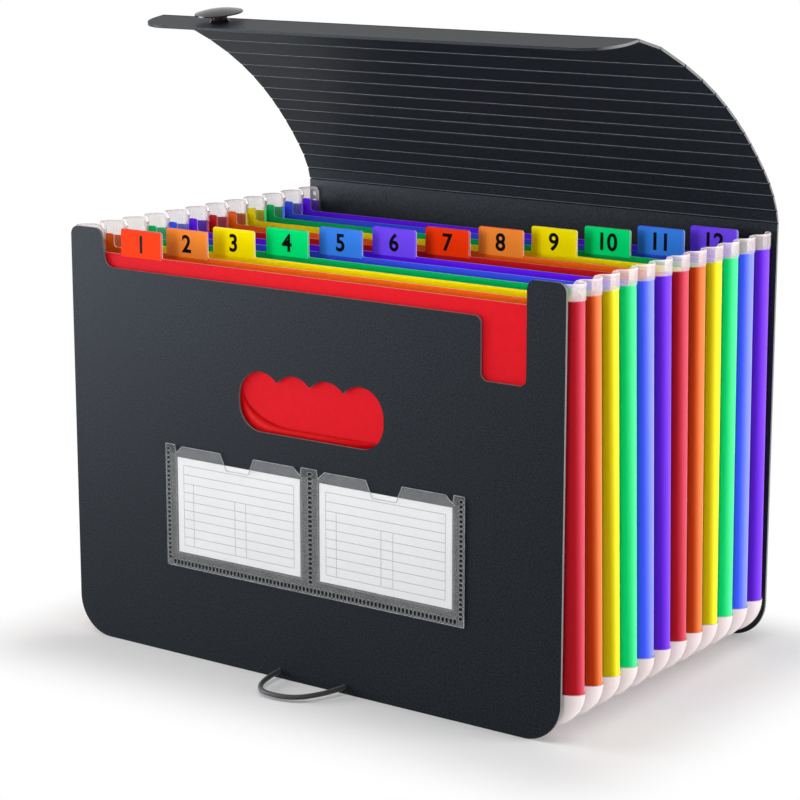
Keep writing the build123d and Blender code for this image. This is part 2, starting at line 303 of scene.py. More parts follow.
# %% Film surface
DIP_FADE = 6.0
DENT_SPAN, DENT_HALF, DENT_SHARE = 9.0, 6.0, 0.7
drop = np.array([0, 0.35, 0.8, 2, 4, 6, 7.4, 8.2, 8.9, 10, 40, 80, 120, 160, 200, 210.4, 211])
side_z = (FILM_TOP - drop)[:, None] - row_dip * np.exp(-drop / DIP_FADE)[:, None]
side_x = -VALLEY_X - (BULGE + swell(row_k, side_z)) * row_sin
bend = np.linspace(0, np.pi / 2, 12)[1:, None]
bend_r = VALLEY_R + BULGE * row_sin
corner_x = VALLEY_R - VALLEY_X - np.cos(bend) * (bend_r + swell(row_k, 0) * row_sin)
corner_z = VALLEY_Z + VALLEY_R - np.sin(bend) * bend_r
plain_run = np.linspace(-1, 1, 9)[1:-1] * (VALLEY_X - VALLEY_R)
stop_runs = [FACE_SHIFT + end * CORD_X + np.linspace(-DENT_SPAN, DENT_SPAN, 13) for end in (-1, 1)]
foot_x = np.unique(np.concatenate([plain_run, *stop_runs]))[:, None]
dent = np.exp(-(((np.abs(foot_x - FACE_SHIFT) - CORD_X) / DENT_HALF) ** 4)) * (row_k == 0)
foot_z = VALLEY_Z - BULGE * row_sin * (1 - DENT_SHARE * dent)
foot_x = foot_x + 0 * row_y
film_x = np.vstack([side_x, corner_x, foot_x, -corner_x[::-1], -side_x[::-1]])
film_z = np.vstack([side_z, corner_z, foot_z, corner_z[::-1], side_z[::-1]])
film_y = np.broadcast_to(row_y, film_x.shape)
print(len(film_x), "steps along the film")

# %% [markdown]
# How milky clear film looks changes over it: hazy over the empty caps and the foot, clear over the
# coloured strips, and whitest at its folds and its upper rim, where it is seen edge-on: partly more haze,
# partly a painted highlight. That goes into a vertex attribute called veil. A thin wall is grown inward
# from the surface, so that the film has two sides.

# %% Film veil
CAP_HAZE, CAP_FOLD, FOOT_HAZE, FOOT_FOLD = 0.27, 0.4, 0.76, 0.1
RIM_HAZE_AND_HIGHLIGHT, RIM_WIDE, MOST_HAZE = 0.5, 0.6, 0.9
FILM_WALL = 0.25
over_strip = (film_z > STRIP_FOOT) & (film_z < STRIP_TOP)
# Whiter at the folds and the rim: partly haze seen edge-on, partly a painted highlight.
haze = np.where(film_z > STRIP_TOP, CAP_HAZE + CAP_FOLD * fold_haze_and_highlight, FOOT_HAZE + FOOT_FOLD * fold_haze_and_highlight)
rim = np.exp(-(((FILM_TOP - row_dip - film_z) / RIM_WIDE) ** 2))
veil = np.clip(np.where(over_strip, 0, haze) + RIM_HAZE_AND_HIGHLIGHT * rim, 0, MOST_HAZE)
film_points = np.stack([film_x, film_y, film_z], axis=-1)
film = grids("film", film_points[None] * MM, smooth_angle=60, veil=veil)
wall = film.modifiers.new("wall", "SOLIDIFY")
wall.thickness = FILM_WALL * MM
wall.offset = -1
print("film has", len(film.data.polygons), "faces")

# %% [markdown]
# Clear film is mostly what is behind it plus a pale haze and a gloss. A Principled shader with its alpha
# taken from the veil does that without slow refraction. The file shuts like an accordion; here the film
# rides on the back cover, with a mesh of its own.


# %% Film finish
def read_attribute(material, name, end, end_socket):
    """Feeds an input with a number kept on the mesh, in place of what fed it before."""
    reader = material.node_tree.nodes.new("ShaderNodeAttribute")
    reader.attribute_name = name
    wire(material, reader, "Fac", end, end_socket)


clear_film = finish("clear_film", 0.14, Specular_IOR_Level=0.2)
grain(clear_film, 30 * MM, (248, 234, 235), (254, 244, 244), 0.05, detail=1.0)
read_attribute(clear_film, "veil", "Principled BSDF", "Alpha")
paint(film, clear_film)


def shut_with_accordion(piece):
    """Rides on the back cover, with a mesh of its own."""
    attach(piece, "back")
    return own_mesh(piece)


shut_with_accordion(film)
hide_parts("pleated_film")

# %% [markdown]
# Behind the film, each pleat holds a curved strip of coloured plastic at both sides. A strip is a thin
# arch: an outer arc, an inner arc, a run from foot to top, with flat cut ends. It follows the film's
# swell, a little inside it.

# %% Strip shapes
STRIP_INSET, STRIP_WALL = 0.55, 0.5
strip_t = np.linspace(0, np.pi, 25)
ring_t = np.append(strip_t, strip_t[::-1])
ring_inset = STRIP_INSET + np.repeat((0, STRIP_WALL), len(strip_t))
strip_z = np.array([STRIP_FOOT, STRIP_FOOT, STRIP_TOP, STRIP_TOP])[:, None]
end_rows = np.array([True, False, False, True])[:, None]


def strip_shell(k, side):
    """Closed thin arch of pleat k: ring of outer and inner arc, rows from foot to top. The first and the
    last row lie on the arch's middle line, which makes the cut ends flat."""
    inset = np.where(end_rows, STRIP_INSET + STRIP_WALL / 2, ring_inset)
    outs = (BULGE + swell(k, strip_z) - inset) * np.sin(ring_t)
    ys = middles[k] - (HALF - inset) * np.cos(ring_t)
    return np.stack([side * (VALLEY_X + outs), ys, strip_z + 0 * outs], axis=-1) * MM


def normal_turn(k):
    """Normal of an ellipse (sin t / height, -cos t / half width): its y part, from 0 in front to 1."""
    nx, ny = np.sin(ring_t) / (BULGE + swell(k, strip_z)), -np.cos(ring_t) / HALF
    return 0.5 + 0.5 * ny / np.hypot(nx, ny)


print(len(ring_t), "points round a strip")

# %% [markdown]
# The strips' colour is painted shade and a painted highlight: deep where the pleat faces the front, lit
# where its far flank turns to the back right, as a lamp from there would light it, and paler still towards
# the far side. The colour follows an attribute that tells how far the arch's normal has turned from front
# to back.

# %% Coloured strips
COLOURS = ("red", "orange", "yellow", "green", "blue", "purple")
# Each colour: a painted-shade tone and a lit tone.
STRIP_SHADED_AND_LIT_RGB = {
    "red": ((164, 16, 28), (212, 66, 86)),
    "orange": ((166, 48, 4), (240, 122, 62)),
    "yellow": ((180, 168, 0), (250, 240, 40)),
    "green": ((0, 200, 112), (70, 228, 146)),
    "blue": ((60, 88, 255), (126, 138, 255)),
    "purple": ((84, 26, 186), (120, 56, 240)),
}
SHADED_UNTIL, LIT_FROM, HIGHLIGHT_AT, HIGHLIGHT_WHITENESS = 0.12, 0.34, 0.75, 0.2


def pockets_of(c):
    """Pockets of colour c: the six colours repeat."""
    return range(c, POCKETS, len(COLOURS))


for c, colour in enumerate(COLOURS):
    shaded_rgb, glow = STRIP_SHADED_AND_LIT_RGB[colour]
    plastic = finish("strip_" + colour, 0.45, Specular_IOR_Level=0.06)
    ramp = grain(plastic, 2 * MM, shaded_rgb, glow, 0.02, detail=1.0)
    read_attribute(plastic, "turn", ramp, "Fac")
    # Painted shade on the front-facing part of the arch, then the lit tone, then a painted highlight mixed
    # towards white on the far flank.
    ramp.color_ramp.elements[0].position = SHADED_UNTIL
    ramp.color_ramp.elements[1].position = LIT_FROM
    highlight_rgb = (1 - HIGHLIGHT_WHITENESS) * np.array(glow) + HIGHLIGHT_WHITENESS * 255
    ramp.color_ramp.elements.new(HIGHLIGHT_AT).color = (*linear(*highlight_rgb), 1)
    pairs = [(k, side) for k in pockets_of(c) for side in (-1, 1)]
    shells = np.stack([strip_shell(k, side) for k, side in pairs])
    turns = np.stack([normal_turn(k) for k, side in pairs])
    strips = grids("strips_" + colour, shells, ring=True, turn=turns)
    paint(strips, plastic)
    shut_with_accordion(strips)
    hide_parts("side_strips_" + colour)
print("strips on both sides of", POCKETS, "pleats")

# %% [markdown]
# Welds and printed lines are small upright blocks, many to a mesh. Cubes could be added one by one, but
# eight signs and six faces, repeated by numpy, make thousands at once.

# %% Blocks
SIGNS = np.array([(x, y, z) for x in (-1, 1) for y in (-1, 1) for z in (-1, 1)])
SIDES = np.array([(0, 1, 3, 2), (4, 6, 7, 5), (0, 4, 5, 1), (2, 3, 7, 6), (0, 2, 6, 4), (1, 5, 7, 3)])


def blocks(name, centres, sizes):
    """Upright blocks: corner = centre + sign * half the size, for the eight signs."""
    sizes = np.broadcast_to(sizes, centres.shape)
    corners = centres[:, None, :] + 0.5 * sizes[:, None, :] * SIGNS
    faces = SIDES + len(SIGNS) * np.arange(len(centres))[:, None, None]
    mesh = bpy.data.meshes.new(name)
    mesh.from_pydata(corners.reshape(-1, 3).tolist(), [], faces.reshape(-1, 4).tolist())
    return add(name, mesh)


print("a block has", len(SIDES), "faces")

# %% [markdown]
# Heat welds hold the film to the sheets: a ladder of short ticks beside each valley, inside the pleat.
# A bump could draw them, but real ticks catch the light at their edges and hide one another in the
# depth of a pleat. They are blocks in one mesh, pale where film is melted to film.

# %% Weld ladders
TICK = np.array((2.0, 0.4, 0.85))
TICK_LOW, TICK_HIGH, TICK_STEP = 32, 228, 1.8
TICK_OUT, TICK_BACK = 1.4, 1.75
side, k, level = np.meshgrid(
    (-1, 1), np.arange(POCKETS), np.arange(TICK_LOW, TICK_HIGH, TICK_STEP), indexing="ij"
)
ticks = np.stack([side * (VALLEY_X + TICK_OUT), middles[k] - HALF + TICK_BACK, level], axis=-1)
ladders = blocks("weld_ladders", ticks.reshape(-1, 3) * MM, TICK * MM)
melted = finish("melted_film", 0.4, Alpha=0.75)
grain(melted, 2 * MM, (240, 196, 204), (252, 232, 234), 0.05)
paint(ladders, melted)
shut_with_accordion(ladders)
print(level.size, "ticks")

# %% [markdown]
# The last pleat is welded to the back cover, in a column of dashes along each side. The dashes are blocks
# that stand a little out of the cover's inner face, glossier than the cover where the tool has melted it.

# %% Back cover welds
DASH = np.array((2.2, 0.5, 2.4))
DASH_X, DASH_LOW, DASH_HIGH, DASH_STEP = 161.2, 30, 236, 4.6
side, level = np.meshgrid((-1, 1), np.arange(DASH_LOW, DASH_HIGH, DASH_STEP), indexing="ij")
dash_spots = np.stack([side * DASH_X, np.full(side.shape, INNER_BACK / MM), level], axis=-1)
dashes = blocks("back_welds", dash_spots.reshape(-1, 3) * MM, DASH * MM)
black_weld = finish("black_weld", 0.22)
grain(black_weld, 1.5 * MM, (14, 15, 16), (30, 31, 34), 0.1)
paint(dashes, black_weld)
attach(dashes, "back")
print(level.size, "dashes")

# %% [markdown]
# Cut edges of plastic and paper get a painted highlight: their colour is mixed towards white, as where an
# edge catches the light. On a flat piece the face's normal points along one axis, so the part of the normal
# along that axis tells face from edge. It is read in the piece's own coordinates, so the painted highlight
# stays on the edge however the piece is turned.

# %% Painted edge highlights
EDGE_FROM, EDGE_TO = 0.5, 0.9


def painted_edge_highlight(material, amount, axis, facing):
    """Paints a highlight on edges: mixes the base colour towards white by the surface normal's own part
    along
    an axis: where it faces that axis, or where it doesn't."""
    new = material.node_tree.nodes.new
    place, split, size, flip, mix = (
        new("ShaderNode" + kind) for kind in ("TexCoord", "SeparateXYZ", "Math", "MapRange", "MixRGB")
    )
    size.operation = "ABSOLUTE"
    flip.inputs["From Min"].default_value = EDGE_FROM
    flip.inputs["From Max"].default_value = EDGE_TO
    flip.inputs["To Min"].default_value = 0.0 if facing else amount
    flip.inputs["To Max"].default_value = amount if facing else 0.0
    # White mixed into the edges: a painted highlight.
    mix.inputs["Color2"].default_value = (1, 1, 1, 1)
    shader = material.node_tree.nodes["Principled BSDF"]
    source = shader.inputs["Base Color"].links[0].from_socket
    material.node_tree.links.new(source, mix.inputs["Color1"])
    wire(material, place, "Normal", split, "Vector")
    wire(material, split, axis, size, 0)
    wire(material, size, "Value", flip, "Value")
    wire(material, flip, "Result", mix, "Fac")
    wire(material, mix, "Color", shader, "Base Color")


print("faces turned by more than", round(np.degrees(np.arccos(EDGE_FROM))), "degrees count as edges")

# %% [markdown]
# Covers and lid are dark sheets of polypropylene with a fine sand-blast grain. The shapes of the frame
# are right as they are, so they only get the finish, with a painted highlight on their cut edges. The back
# cover and the lid get a lighter copy of the front cover's finish: painted light for their dim inside under
# the lid. The front cover's face looks along Y. The lid's strips lean, but all of them lie along X, so on
# the lid an edge is what faces X.

# %% Cover finish
COVER_EDGE_HIGHLIGHT = 0.2
cover_plastic = finish("cover_plastic", 0.46, Specular_IOR_Level=0.07)
grain(cover_plastic, 0.9 * MM, (12, 15, 18), (34, 38, 44), 0.3, detail=6.0)
painted_edge_highlight(cover_plastic, COVER_EDGE_HIGHLIGHT, "Y", False)
# A lighter copy of the cover finish, painted light for the dim inside under the lid; the back cover shares
# it.
lid_plastic_lightened = finish("lid_plastic_lightened", 0.5, Specular_IOR_Level=0.13)
grain(lid_plastic_lightened, 0.9 * MM, (21, 24, 27), (41, 45, 51), 0.26, detail=6.0)
painted_edge_highlight(lid_plastic_lightened, COVER_EDGE_HIGHLIGHT, "X", True)
lid_nodes = ["lid_strip_%02d" % i for i in range(1, 13)] + ["lid_flap_1", "lid_flap_2", "lid_tip"]
paint("front_cover", cover_plastic)
for node in ["back_cover"] + lid_nodes:
    paint(node, lid_plastic_lightened)
print("two covers and", len(lid_nodes), "lid strips painted")

# %% [markdown]
# Beads and lips are thin round bars. A curve with a bevel would do, but a ring of points that is carried
# along a path is one more grid, so it goes through the same helper as the rest. The ring is spanned by
# a side that is given and by the direction square to that side and to the path.

# %% Round bars
AROUND = 8


def tube(name, path, radius, side, closed=False):
    """Round bar along a path: point = path + radius * (cos a * side + sin a * across), where across is
    square to the path and to side. Open ends shrink to a point."""
    path, side = np.asarray(path, float), np.asarray(side, float)
    if closed:
        path = np.vstack([path, path[:1]])
        along = np.gradient(np.vstack([path[-2:-1], path, path[1:2]]), axis=0)[1:-1]
    else:
        along = np.gradient(path, axis=0)
    across = np.cross(along, side)
    across /= np.linalg.norm(across, axis=1, keepdims=True)
    turn = np.linspace(0, 2 * np.pi, AROUND, endpoint=False)
    ring = np.cos(turn)[:, None] * side + np.sin(turn)[:, None] * across[:, None, :]
    points = path[:, None, :] + radius * ring
    if not closed:
        ends = [np.repeat(path[i][None, None, :], AROUND, axis=1) for i in (0, -1)]
        points = np.concatenate([ends[0], points, ends[1]])
    return grids(name, points[None], ring=True)


print("a bar has", AROUND, "sides")

# %% [markdown]
# A thin bead on each crease closes the hair gap between two lid strips, as the web of plastic in a scored
# hinge does, and a thin lip stands on the edge of each score, pale grey as a painted highlight where that
# edge catches the light. Both are round bars across the lid. The creases' places come from the frame's own
# joints, and each bar rides on the strip that its crease turns.

# %% Crease beads and lips
BEAD, BEAD_IN, LIP, SCORE, SCORED, END_GAP = 0.24, 0.05, 0.2, 0.7, 13, 0.5
# Pale grey lips: a painted highlight on the edges of the scores.
score_highlight_plastic = finish("score_highlight_plastic", 0.4, Specular_IOR_Level=0.2)
grain(score_highlight_plastic, 2 * MM, (98, 103, 109), (120, 125, 131), 0.05)
creases = [joint for joint in frame["joints"] if joint["type"] == "hinge"]
pivots = np.array([joint["pos_m"] for joint in creases])[:, 1:] / MM
along = np.diff(pivots, axis=0, append=pivots[-1:] * 2 - pivots[-2:-1])
along /= np.linalg.norm(along, axis=1, keepdims=True)
inward = np.stack([-along[:, 1], along[:, 0]], axis=1)
for i, (joint, node) in enumerate(zip(creases, lid_nodes)):
    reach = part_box(node)[1].x / MM - END_GAP
    lines = [("bead_", pivots[i] + BEAD_IN * inward[i], BEAD, lid_plastic_lightened)]
    if i < SCORED:
        lip = pivots[i] + SCORE * along[i] + SHEET / MM * inward[i]
        lines.append(("lip_", lip, LIP, score_highlight_plastic))
    for word, (y, z), radius, plastic in lines:
        line = np.array([(x, y, z) for x in (-reach, 0, reach)])
        bead = tube(word + node, line * MM, radius * MM, (0, 1, 0))
        paint(bead, plastic)
        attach(bead, joint["child"])
print(len(creases), "creases beaded,", SCORED, "scores lipped")

# %% [markdown]
# The tabbed sheets keep their solids and get a satin finish in six colours, with a painted highlight on
# their cut edges. The paper labels are a little lighter than the sheets behind them. Both are nearly
# without gloss, because a gloss would lay a grey haze over the strong colours.

# %% Sheets and labels
SHEET_RGB = {
    "red": (206, 24, 34),
    "orange": (255, 108, 24),
    "yellow": (255, 238, 0),
    "green": (0, 184, 94),
    "blue": (58, 86, 250),
    "purple": (106, 30, 250),
}
LABEL_RGB = {
    "red": (255, 58, 8),
    "orange": (255, 148, 56),
    "yellow": (255, 246, 0),
    "green": (0, 236, 128),
    "blue": (60, 140, 255),
    "purple": (124, 78, 255),
}
SHEET_EDGE_HIGHLIGHT, DULL = 0.5, 0.015


def shade(rgb, factor):
    """Screen bytes times a factor."""
    return tuple(min(255, int(c * factor)) for c in rgb)


for c, colour in enumerate(COLOURS):
    rgb, tint = SHEET_RGB[colour], LABEL_RGB[colour]
    leaf_plastic = finish("leaf_" + colour, 0.45, Specular_IOR_Level=DULL)
    grain(leaf_plastic, 3 * MM, shade(rgb, 0.98), rgb, 0.01, detail=2.0)
    # Painted highlight on the cut edges of sheets and labels.
    painted_edge_highlight(leaf_plastic, SHEET_EDGE_HIGHLIGHT, "Y", False)
    label_paper = finish("label_" + colour, 0.5, Specular_IOR_Level=DULL)
    grain(label_paper, 0.4 * MM, shade(tint, 0.97), tint, 0.04)
    painted_edge_highlight(label_paper, SHEET_EDGE_HIGHLIGHT, "Y", False)
    for k in pockets_of(c):
        paint("leaf_%02d" % (k + 1), leaf_plastic)
        paint("label_%02d" % (k + 1), label_paper)
print(POCKETS, "sheets and labels painted")

# %% [markdown]
# Each label carries its pocket's number. Figures could come from a picture, but shapes stay sharp and
# need no file. A text curve is filled and made a mesh, then its flat x and y become x and z on the
# label's face, a hair proud of the paper. The curve's offset makes the figures bolder.

# %% Numbers
NUMBER_SIZE, NUMBER_BOLD, NUMBER_THICK, NUMBER_PROUD, NUMBER_DROP = 13.5, 0.33, 0.05, 0.04, 0.4
ink = finish("ink", 0.6, Specular_IOR_Level=0.05)
grain(ink, 0.5 * MM, (4, 4, 5), (12, 12, 13), 0.03)
for k in range(POCKETS):
    low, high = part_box("label_%02d" % (k + 1))
    text = bpy.data.curves.new("text", "FONT")
    text.body = str(k + 1)
    text.size = NUMBER_SIZE * MM
    text.offset = NUMBER_BOLD * MM
    text.extrude = NUMBER_THICK * MM
    text.align_x = "CENTER"
    text.align_y = "CENTER"
    flat = bpy.data.objects.new("text", text)
    mesh = bpy.data.meshes.new_from_object(flat)
    co = np.empty(3 * len(mesh.vertices), np.float32)
    mesh.vertices.foreach_get("co", co)
    co = co.reshape(-1, 3)
    upright = np.stack([
        co[:, 0] + (low.x + high.x) / 2,
        low.y - co[:, 2] - NUMBER_PROUD * MM,
        co[:, 1] + (low.z + high.z) / 2 - NUMBER_DROP * MM,
    ], axis=1)
    mesh.vertices.foreach_set("co", upright.astype(np.float32).ravel())
    bpy.data.objects.remove(flat)
    number = add("number_%02d" % (k + 1), mesh)
    paint(number, ink)
    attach(number, "front" if k == 0 else "sheet_%02d" % (k + 1))
print("numbered 1 to", POCKETS)

# %% [markdown]
# Through the hand hole one sees the red sheet, and on it, behind the hole's lower left edge, a painted
# shadow of that edge: a flat darker red band. The band lies between the hole's own outline, down its left
# end, round the corner and along its foot, and an inner line: a quarter of an ellipse, then straight. The
# two lines meet at both ends, so the band runs out to nothing there. It is one flat grid of two rows with a
# little thickness, and its outer row is tucked behind the cover.

# %% Hand hole shadow
GRIP_R, GRIP_ROUND, GRIP_HALF, GRIP_FOOT, FINGER_X, FINGER_Z = 15.3, 14.8, 48.9, 137.0, 33.6, 155.1
SHADOW_START, SHADOW_WIDE, SHADOW_RISE = np.radians(160), 34.0, 3.8
SHADOW_BEHIND, SHADOW_WALL, TUCK = 0.4, 0.15, (-0.6, -0.5)


def arc(x, z, half_x, half_z, start, end, steps):
    """Arc of an ellipse: centre + (half_x * cos a, half_z * sin a)."""
    a = np.linspace(start, end, steps)
    return np.stack([x + half_x * np.cos(a), z + half_z * np.sin(a)], axis=1)


round_x, round_z = GRIP_HALF - GRIP_ROUND, GRIP_FOOT + GRIP_ROUND
right_end = -np.arcsin(1 - SHADOW_RISE / GRIP_ROUND)
outer = np.concatenate([
    arc(-FINGER_X, FINGER_Z, GRIP_R, GRIP_R, SHADOW_START, np.pi, 8),
    arc(-round_x, round_z, GRIP_ROUND, GRIP_ROUND, np.pi, 1.5 * np.pi, 16),
    arc(round_x, round_z, GRIP_ROUND, GRIP_ROUND, -np.pi / 2, right_end, 12),
])
first = outer[0]
meet = np.array((first[0] + SHADOW_WIDE, GRIP_FOOT + SHADOW_RISE))
inner = np.concatenate([
    arc(meet[0], first[1], SHADOW_WIDE, first[1] - meet[1], np.pi, 1.5 * np.pi, 24),
    np.linspace(meet, outer[-1], 12),
])
rows = np.stack([outer + TUCK, inner])
lip_y = np.full(rows.shape[:2], (FRONT + SHEET) / MM + SHADOW_BEHIND)
lip = np.stack([rows[..., 0] + FACE_SHIFT, lip_y, rows[..., 1]], axis=-1)
hand_hole_shadow = grids("hand_hole_shadow", lip[None] * MM, smooth_angle=5)
thick = hand_hole_shadow.modifiers.new("thick", "SOLIDIFY")
thick.thickness = SHADOW_WALL * MM
thick.offset = 0
# A flat dark red band: painted shadow of the cover's edge on the red sheet.
shadow_red = finish("shadow_red", 0.6, Specular_IOR_Level=0.05)
grain(shadow_red, 3 * MM, (186, 0, 2), (198, 2, 6), 0.01)
paint(hand_hole_shadow, shadow_red)
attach(hand_hole_shadow, "front")
print("hand lip has", len(outer), "steps")

# %% [markdown]
# On the front cover, a clear pocket holds two ruled cards. The pocket's solid stays, in a film finish:
# white haze at a low alpha, so it greys the dark cover and leaves the paper white. A pale bead along the
# cut edge is a painted highlight, where the edge catches the light. The edge's right half runs up the side
# and along the free lip: from either weld it falls into a small notch, rises to a tongue and dips to the
# thumb cut. The left half is its mirror image. The bead's rings lie close to each corner, so that the
# corners stay sharp.

# %% Card pocket
pocket_film = finish("pocket_film", 0.2, Alpha=0.09, Specular_IOR_Level=0.4)
grain(pocket_film, 6 * MM, (226, 230, 234), (244, 246, 248), 0.02, detail=1.0)
paint("card_pocket", pocket_film)
pocket_low, pocket_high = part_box("card_pocket")
POCKET_Y, POCKET_FOOT, POCKET_TOP = pocket_low.y / MM, pocket_low.z / MM, pocket_high.z / MM
POCKET_HALF = (pocket_high.x - pocket_low.x) / 2 / MM
SIDE_WELD, MIDDLE_WELD, EDGE_BEAD = 6.6, 10.4, 0.18
LIP_RUNS, LIP_DROPS = np.cumsum((0.8, 4.6, 27.5, 4.0)), np.array((4.6, 0.5, 0.5, 9.7))
bay_outer, bay_inner = POCKET_HALF - SIDE_WELD, MIDDLE_WELD / 2
lip_z = POCKET_TOP - LIP_DROPS
edge_x = [POCKET_HALF, POCKET_HALF, bay_outer, *(bay_outer - LIP_RUNS)]
edge_x = np.array([*edge_x, *(bay_inner + LIP_RUNS)[::-1], bay_inner])
edge_z = np.array([POCKET_FOOT, POCKET_TOP, POCKET_TOP, *lip_z, *lip_z[::-1], POCKET_TOP])
near = np.stack([
    np.append(edge_x, -edge_x[::-1]) + FACE_SHIFT,
    np.full(2 * len(edge_x), POCKET_Y),
    np.append(edge_z, edge_z[::-1]),
], axis=1)
far = np.roll(near, -1, axis=0)
shares = np.array([0.004, 0.25, 0.5, 0.75, 0.996])[:, None]
edge_points = (near[:, None] + (far - near)[:, None] * shares).reshape(-1, 3)
pocket_edge = tube("pocket_edge", edge_points * MM, EDGE_BEAD * MM, (0, 1, 0), closed=True)
# Pale bead on the cut edge: a painted highlight.
edge_highlight_film = finish("edge_highlight_film", 0.25, Alpha=0.6)
grain(edge_highlight_film, 3 * MM, (156, 159, 162), (190, 193, 196), 0.03)
paint(pocket_edge, edge_highlight_film)
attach(pocket_edge, "front")
print("pocket edge has", len(edge_points), "steps")

# %% [markdown]
# The film is milkier where it is pressed to the cover, so a second thin layer lies on the three columns
# and on the foot between them. Each is a flat block from one x to another and from the foot up.

# %% Pressed margins
SIDE_PRESSED, MIDDLE_PRESSED, FOOT_PRESSED, PRESSED_DROP = 7.8, 6.4, 8.3, 4.8
LAYER, LAYER_OUT = 0.04, 0.03
column_edge = POCKET_HALF - SIDE_PRESSED
column_top, foot_top = POCKET_TOP - PRESSED_DROP, POCKET_FOOT + FOOT_PRESSED
pressed = np.array([
    (-POCKET_HALF, -column_edge, column_top),
    (-MIDDLE_PRESSED, MIDDLE_PRESSED, column_top),
    (column_edge, POCKET_HALF, column_top),
    (-column_edge, -MIDDLE_PRESSED, foot_top),
    (MIDDLE_PRESSED, column_edge, foot_top),
])
left, right, top = pressed.T
layer_y = np.full(len(pressed), POCKET_Y - LAYER_OUT)
centres = np.stack([(left + right) / 2 + FACE_SHIFT, layer_y, (POCKET_FOOT + top) / 2], axis=1)
sizes = np.stack([right - left, np.full(len(pressed), LAYER), top - POCKET_FOOT], axis=1)
margins = blocks("pocket_margins", centres * MM, sizes * MM)
milky_film = finish("milky_film", 0.35, Alpha=0.045, Specular_IOR_Level=0.2)
grain(milky_film, 4 * MM, (222, 222, 222), (240, 240, 240), 0.02, detail=1.0)
paint(margins, milky_film)
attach(margins, "front")
print(len(pressed), "pressed margins")

# %% [markdown]
# The welds themselves are rows of little dishes with raised rims: a column down each side and the
# middle, and a row along the foot. Their places come first, worked out from the pocket's box.

# %% Places of the weld dishes
COLUMN, MIDDLE, ROW = 25, 24, 76
COLUMN_IN, MIDDLE_X, ROW_IN, ROW_UP = 2.0, 0.8, 5.6, 2.4
COLUMN_UP, MIDDLE_UP, COLUMN_DROP = 4.5, 7.0, 2.8
DISH, COLUMN_DISH, LONG_DISH = 0.95, 1.25, 1.6
last_z = POCKET_TOP - COLUMN_DROP
column_z = np.linspace(POCKET_FOOT + COLUMN_UP, last_z, COLUMN)
middle_z = np.linspace(POCKET_FOOT + MIDDLE_UP, last_z, MIDDLE)
column_x, row_end = POCKET_HALF - COLUMN_IN, POCKET_HALF - ROW_IN


def dishes_at(x, z, half_x, half_z):
    """Rows of (x, z, half width, half height), one for each dish."""
    return np.stack(np.broadcast_arrays(x, z, half_x, half_z), axis=1)


spots = np.concatenate([
    dishes_at(-column_x, column_z, COLUMN_DISH, DISH),
    dishes_at(column_x, column_z, COLUMN_DISH, DISH),
    dishes_at(MIDDLE_X, middle_z, LONG_DISH, DISH),
    dishes_at(np.linspace(-row_end, row_end, ROW), POCKET_FOOT + ROW_UP, DISH, LONG_DISH),
])
print(len(spots), "places for dishes")

# %% [markdown]
# One dish is rings of an oval, each ring with its own share of the oval's size and its own height over
# the film. A bump could fake it, but a real rim catches the light. All dishes are one mesh, and an
# attribute called rim makes the hollow black and the raised ring pale, palest on its crest as a painted
# highlight.

# %% Weld dishes
RINGS = np.array([(0, 0.07), (0.9, 0.07), (1.0, 0.14), (1.1, 0.16), (1.2, 0.12), (1.28, 0), (0, 0)])
RIM_HIGHLIGHT = np.array([0, 0, 0.5, 1, 0.8, 0.5, 0.5])[:, None]
spin = np.linspace(0, 2 * np.pi, 12, endpoint=False)
x, z, half_x, half_z = spots.T[:, :, None, None]
ring_x = x + half_x * RINGS[:, 0, None] * np.cos(spin) + FACE_SHIFT
ring_z = z + half_z * RINGS[:, 0, None] * np.sin(spin)
ring_y = np.broadcast_to(POCKET_Y - RINGS[:, 1, None], ring_x.shape)
rings = np.stack([ring_x, ring_y, ring_z], axis=-1)
dishes = grids("weld_dishes", rings * MM, ring=True, smooth_angle=80, rim=RIM_HIGHLIGHT)
# Black in the hollow, pale on the raised ring: the ring's crest is a painted highlight.
dish_film_highlighted = finish("dish_film_highlighted", 0.4, Specular_IOR_Level=0.1)
ramp = grain(dish_film_highlighted, 2 * MM, (4, 4, 5), (140, 142, 144), 0.02)
read_attribute(dish_film_highlighted, "rim", ramp, "Fac")
ramp.color_ramp.elements[0].position = 0
ramp.color_ramp.elements[1].position = 1
paint(dishes, dish_film_highlighted)
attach(dishes, "front")
print(len(RINGS), "rings in a dish")

# %% [markdown]
# The cards are white index cards with a printed frame and rules. Stripes in the paper's material could
# draw the rules, but some upright ones stop at a level below the top. So the print is thin flat ribbons
# that lie a hair in front of the paper, placed in shares of the card's own box.

